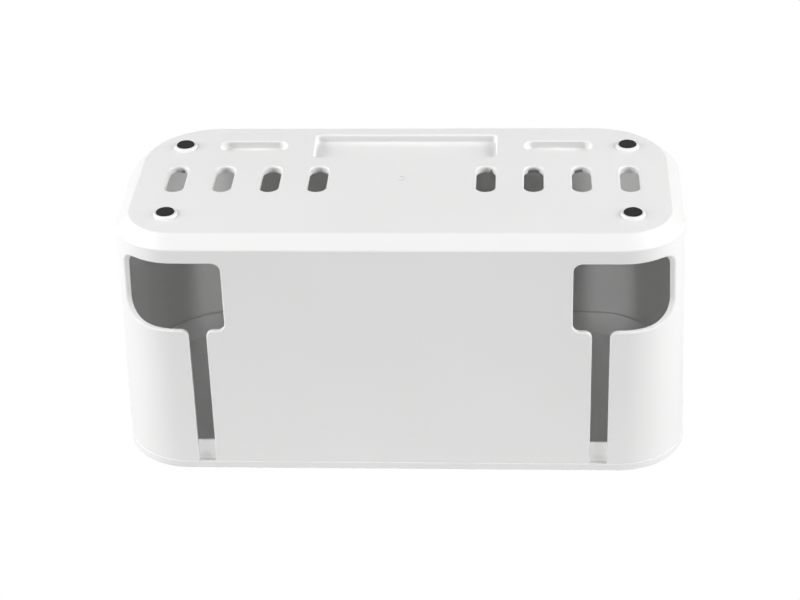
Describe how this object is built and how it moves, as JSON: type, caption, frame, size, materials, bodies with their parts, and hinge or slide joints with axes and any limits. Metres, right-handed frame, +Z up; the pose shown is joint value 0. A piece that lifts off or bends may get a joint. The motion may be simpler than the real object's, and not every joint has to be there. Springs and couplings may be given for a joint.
{
  "type": "cable management box",
  "caption": "Long white box with round corners, a lift-off lid, cable outlets round its rear corners with slots up to the rim, a vented base and rubber feet.",
  "frame": {"origin": "centre of the box's footprint, on the plane that the four rubber feet stand on", "axes": "+X along the long side, to the right seen from the front; +Y towards the rear wall with the cable outlets; +Z up towards the lid"},
  "size_m": [0.3208, 0.1472, 0.1499],
  "materials": {
    "white_plastic": "fine satin moulded surface",
    "foot_rubber": "matt black rubber"
  },
  "bodies": {
    "tub": {"body_shell": "white_plastic", "foot_front_left": "foot_rubber", "foot_front_right": "foot_rubber", "foot_rear_left": "foot_rubber", "foot_rear_right": "foot_rubber"},
    "cover": {"lid": "white_plastic"}
  },
  "joints": [
    {"name": "lid_lift", "type": "slide", "parent": "tub", "child": "cover", "axis": [0, 0, 1], "range_m": [0, 0.15]}
  ]
}
